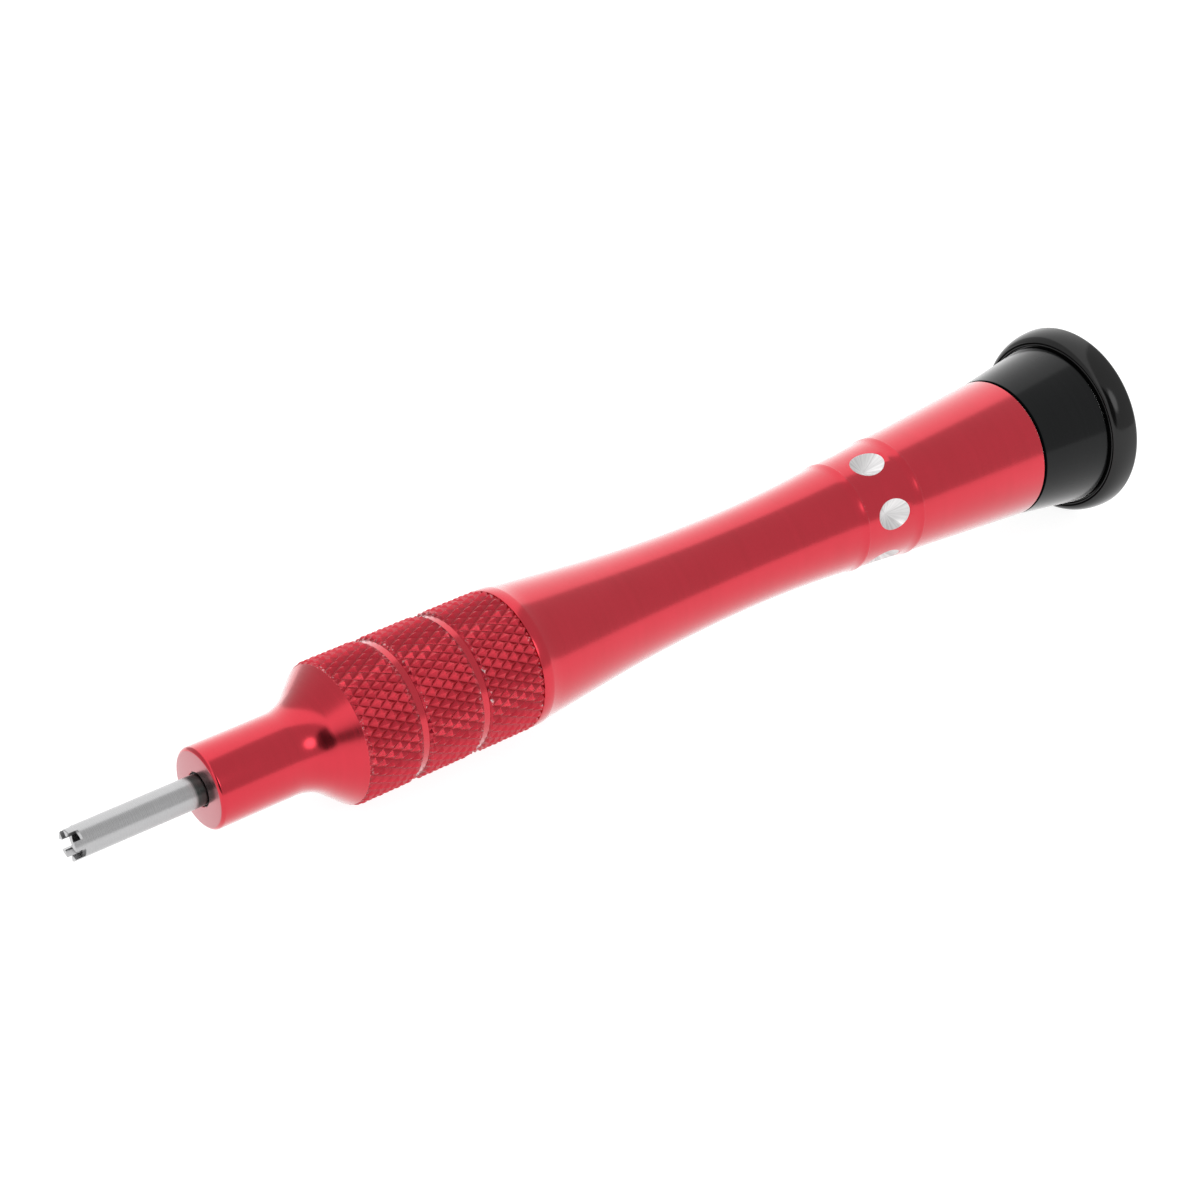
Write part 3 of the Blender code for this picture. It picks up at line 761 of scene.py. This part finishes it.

# %% [markdown]
# ## The neck
# The neck is a black anodised cone that carries the bearing in a pocket at its open end.
# It is turned like the handle, so its finish is the same idea in black, with a softer sheen.
# The first fifth of a millimetre, next to the red, has its coat and sheen taken away and stays dead black,
# as painted shade in the joint's gap.

# %% Black anodised metal and the neck
BLACK = (0.0015, 0.0020, 0.0023)
WORN_BLACK = (0.0030, 0.0036, 0.0040)
FIT = 0.05
NECK_START = TAIL + 0.12
NECK_EDGE = 0.10
SEAT_RADIUS = measure("bearing_outer_ring")[2] + FIT
SEAT_FLOOR = measure("bearing_outer_ring")[0] - FIT
NECK_BORE = measure("bearing_inner_ring")[2] + 0.35


def black_anodised():
    """A black skin whose gloss is all in its coat, so the coat's mask can leave one edge dead black as
    painted shade.
    """
    finish = Finish("black_anodised_turned", BLACK, metallic=0.0, roughness=0.3, Specular_IOR_Level=0.0,
                    Coat_Weight=1.0, Coat_IOR=1.30, Coat_Roughness=0.15,
                    Sheen_Weight=1.0, Sheen_Roughness=0.28)
    rings = turning_rings(finish, fine=7.0)
    finish.drive("Base Color", finish.mix(finish.spread(rings, 0.35, 0.65), BLACK, WORN_BLACK))
    finish.drive("Roughness", finish.spread(rings, 0.3, 0.7, 0.27, 0.35))
    # Painted shade: no coat and no sheen next to the red, so a dead black line stands where the joint's gap
    # is in shadow.
    coat_outside_joint_shade = finish.spread(finish.station, NECK_START + 0.16, NECK_START + 0.22)
    finish.drive("Coat Weight", coat_outside_joint_shade)
    finish.drive("Sheen Weight", coat_outside_joint_shade)
    finish.bump(rings, 0.25, 0.003)
    return finish


def neck_shape():
    """A cone with a seat for the bearing, and a thinner spigot that fits in the handle's tail."""
    outline = [(SEAT_RADIUS, SEAT_FLOOR), (SEAT_RADIUS, NECK_END), (NECK_RADIUS - NECK_EDGE, NECK_END),
               (NECK_RADIUS, NECK_END - NECK_EDGE), (TAIL_RADIUS, NECK_START + NECK_EDGE),
               (TAIL_RADIUS - NECK_EDGE, NECK_START), (SPIGOT_RADIUS - FIT, NECK_START),
               (SPIGOT_RADIUS - FIT, SPIGOT_END), (NECK_BORE, SPIGOT_END), (NECK_BORE, SEAT_FLOOR)]
    return turn(outline, closed=True)


black_metal = black_anodised()
neck = to_object("bearing_neck", neck_shape(), black_metal.material)
place(neck, "handle", "tail_ferrule")

# %% [markdown]
# ## The finger rest
# The finger rest is a glossy black button with a fat rounded rim and a shallow dish for the fingertip.
# A narrow flat land lies next to the neck, and a fine groove parts it from the rim.
# Moulded plastic is never perfectly even, so its gloss wanders a little and it has a few hairline scuffs.

# %% Gloss black plastic and the finger rest
LAND_RADIUS = 8.0
BACK_ROUND = 0.5
BEAD_RADIUS = 7.86
BEAD_SIZE = 0.08
RECESS = 0.16
SHELF_RADIUS = 7.4
DISH_RADIUS = 7.3
DISH_DEPTH = 0.75
HOLE_RADIUS = measure("cap_spindle")[2] + FIT
HOLE_FLOOR = measure("cap_spindle")[1] + FIT
REST_SHARP = 40.0
PLASTIC = (0.003, 0.003, 0.003)
SCUFFED = (0.010, 0.010, 0.010)
SCUFF_DULLS = 0.12


def gloss_black():
    """Glossy plastic; stretching the noise's space turns its spots into thin scuffs."""
    finish = Finish("gloss_black_moulded", PLASTIC, roughness=0.14, Specular_IOR_Level=0.4)
    wander = finish.noise(0.6, detail=3.0)
    stretched = finish.tree.nodes.new("ShaderNodeMapping")
    stretched.inputs["Scale"].default_value = (5.0, 0.35, 1.6)
    stretched.inputs["Rotation"].default_value = (0.4, 0.2, 0.9)
    finish.wire(finish.local.outputs["Vector"], stretched.inputs["Vector"])
    scuffs = finish.spread(finish.noise(2.2, detail=4.0, vector=stretched.outputs["Vector"]), 0.66, 0.74)
    even = finish.spread(wander, 0.3, 0.7, 0.09, 0.17)
    finish.drive("Roughness", finish.math('ADD', even, finish.times(scuffs, SCUFF_DULLS)))
    finish.drive("Base Color", finish.mix(scuffs, PLASTIC, SCUFFED))
    finish.bump(wander, 0.15, 0.02)
    return finish


def rest_shape():
    """From the middle of the dish out over the rim, back along the land and groove, and into the hole."""
    dish = (DISH_RADIUS ** 2 + DISH_DEPTH ** 2) / (2 * DISH_DEPTH)
    sweep = degrees(asin(DISH_RADIUS / dish))
    rim_station = CAP_END - BACK_ROUND
    outline = arc(0, CAP_END - DISH_DEPTH + dish, dish, -90, sweep - 90, 28)
    outline += arc(CAP_RADIUS - BACK_ROUND, rim_station, BACK_ROUND, 90, 0, 12)
    outline += arc(LAND_RADIUS, rim_station, CAP_RADIUS - LAND_RADIUS, 0, -84, 24,
                   depth=rim_station - CAP_START)[1:]
    outline += [(LAND_RADIUS, CAP_START + RECESS)]
    outline += arc(BEAD_RADIUS, CAP_START + BEAD_SIZE, BEAD_SIZE, 0, -180, 8)
    outline += [(BEAD_RADIUS - BEAD_SIZE - 0.04, CAP_START + RECESS), (SHELF_RADIUS, CAP_START + RECESS),
                (SHELF_RADIUS - 0.05, CAP_START)]
    outline += [(HOLE_RADIUS, CAP_START), (HOLE_RADIUS, HOLE_FLOOR), (0, HOLE_FLOOR)]
    return turn(outline)


black_plastic = gloss_black()
finger_rest = to_object("finger_rest_button", rest_shape(), black_plastic.material, REST_SHARP)
place(finger_rest, "finger_rest", "swivel_cap")

# %% [markdown]
# ## The bearing inside
# The bearing, its shields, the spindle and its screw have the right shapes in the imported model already.
# They stay as they are and only get real finishes: bright ground steel, pressed shields, and a brass cage.

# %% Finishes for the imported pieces
bearing_finish = ground_steel("bearing_steel_ground", (0.72, 0.72, 0.73), (0.60, 0.60, 0.61), 0.14, 20.0)
brass_finish = ground_steel("cage_brass_pressed", (0.72, 0.52, 0.22), (0.60, 0.42, 0.17), 0.32, 8.0)
spindle_finish = ground_steel("spindle_steel_turned", (0.58, 0.58, 0.59), (0.46, 0.46, 0.47), 0.30, 10.0)
PACKED_FINISHES = {"cage": brass_finish, "spindle": spindle_finish, "screw": spindle_finish,
                   "washer": spindle_finish, "shim": spindle_finish}
for name, node in frame["nodes"].items():
    if node.hide_render:
        continue
    words = name.split("_")
    finish = next((look for word, look in PACKED_FINISHES.items() if word in words), bearing_finish)
    node.data.materials.clear()
    node.data.materials.append(finish.material)
    print(f"{name}: {finish.material.name}")

# %% [markdown]
# ## The light
# Bare metal only shows what stands round it, so the surroundings matter more than the lamps.
# A small product is shot in a white tent, with a bright floor, a bright wall behind and a darker front.
# The world gives exactly that: a plane splits the sky into a dim front half and a bright back half.
# The soft edge between them is what draws the long dark stripe down the handle.
# The back is dim again far to the left, and round patches add a window, a dark lens and a left-hand light.
# The flare is curved enough to show all of them in one small place, so that is where to look for them.
# Where the camera looks past the floor it sees one pale tone.

# %% The world
FRONT_DIM = (0.70, 0.70, 0.70)
BACK_BRIGHT = (1.40, 1.40, 1.40)
WINDOW_BRIGHT = (2.6, 2.6, 2.6)
LENS_DARK = (0.05, 0.05, 0.05)
PAPER = (0.99, 0.99, 0.99)
FRONT_SIDE = (0.445, -0.893, -0.068)
LEFT_SIDE = (-0.75, 0.66, 0.0)
WINDOW_SPOT = (-0.08, -0.84, 0.54)
LEFT_LIGHT = (-0.90, -0.28, 0.36)
LENS_SPOT = (-0.60, -0.72, 0.33)
# Each patch has a middle, the cosines at its outer and inner edge, and a tone. Later ones lie on top.
PATCHES = ((LEFT_SIDE, 0.45, 0.53, FRONT_DIM),
           (FRONT_SIDE, -0.02, 0.02, FRONT_DIM),
           (WINDOW_SPOT, cos(radians(15)), cos(radians(9)), WINDOW_BRIGHT),
           (LENS_SPOT, cos(radians(25)), cos(radians(18)), LENS_DARK),
           (LEFT_LIGHT, cos(radians(19)), cos(radians(9)), BACK_BRIGHT))


def sky_patch(sky, heading, middle, outer, inner):
    """A mask that is 1 round one direction and fades out towards its outer edge."""
    facing = sky.tree.nodes.new("ShaderNodeVectorMath")
    facing.operation = 'DOT_PRODUCT'
    facing.inputs[1].default_value = Vector(middle).normalized()
    sky.wire(heading, facing.inputs[0])
    return sky.spread(facing.outputs["Value"], outer, inner, smooth=True)


def make_world():
    world = bpy.data.worlds.new("white_tent")
    bpy.context.scene.world = world
    world.use_nodes = True
    sky = Nodes(world.node_tree)
    heading = sky.tree.nodes.new("ShaderNodeTexCoord").outputs["Generated"]
    tent = BACK_BRIGHT
    for middle, outer, inner, tone in PATCHES:
        tent = sky.mix(sky_patch(sky, heading, middle, outer, inner), tent, tone)
    camera_ray = sky.tree.nodes.new("ShaderNodeLightPath").outputs["Is Camera Ray"]
    sky.wire(sky.mix(camera_ray, tent, PAPER), sky.tree.nodes["Background"].inputs["Color"])


make_world()

# %% [markdown]
# ## Floor, lamp and camera
# The floor is a sheet of pale acrylic that glows a little, so the underside of the tool is lit too.
# One large soft lamp hangs behind and above.
# The camera uses a long lens, from about a quarter of a metre.

# %% Floor and lamp
FLOOR_SIZE = 3.0
FLOOR_GREY = (0.30, 0.30, 0.30)
FLOOR_GLOW = 0.92
LAMP_SIZE = 0.5
LAMP_POWER = 1.0
LAMP_SPOT = Vector((0.05, 0.35, 0.75))


def make_floor():
    shape = bmesh.new()
    bmesh.ops.create_grid(shape, x_segments=1, y_segments=1, size=FLOOR_SIZE / 2)
    mesh = bpy.data.meshes.new("floor")
    shape.to_mesh(mesh)
    shape.free()
    floor = bpy.data.objects.new("floor", mesh)
    bpy.context.scene.collection.objects.link(floor)
    sheet = bpy.data.materials.new("pale_acrylic")
    sheet.use_nodes = True
    shader = sheet.node_tree.nodes["Principled BSDF"]
    shader.inputs["Base Color"].default_value = (*FLOOR_GREY, 1)
    shader.inputs["Roughness"].default_value = 0.6
    shader.inputs["Specular IOR Level"].default_value = 0.1
    shader.inputs["Emission Color"].default_value = (1, 1, 1, 1)
    shader.inputs["Emission Strength"].default_value = FLOOR_GLOW
    mesh.materials.append(sheet)


def make_lamp():
    """A square soft box aimed at the tool. Only the world shows in the metal, not the box."""
    lamp = bpy.data.lights.new("soft_box", 'AREA')
    lamp.shape = 'SQUARE'
    lamp.size = LAMP_SIZE
    lamp.energy = LAMP_POWER
    stand = bpy.data.objects.new("soft_box", lamp)
    stand.location = LAMP_SPOT
    stand.rotation_euler = (-LAMP_SPOT).to_track_quat('-Z', 'Y').to_euler()
    stand.visible_glossy = False
    bpy.context.scene.collection.objects.link(stand)


make_floor()
make_lamp()

# %% The camera
CAMERA_SPOT = (-0.1375649, -0.1639695, 0.1224671)
CAMERA_LOOK = (0.558352, 0.681627, -0.472894)
CAMERA_LENS = 85.86
SENSOR_WIDTH = 36.0

camera_data = bpy.data.cameras.new("camera")
camera_data.lens = CAMERA_LENS
camera_data.sensor_width = SENSOR_WIDTH
camera_data.clip_start = 0.01
camera = bpy.data.objects.new("camera", camera_data)
camera.location = CAMERA_SPOT
camera.rotation_euler = Vector(CAMERA_LOOK).to_track_quat('-Z', 'Y').to_euler()
bpy.context.scene.collection.objects.link(camera)
bpy.context.scene.camera = camera
bpy.context.scene.view_settings.view_transform = 'Standard'
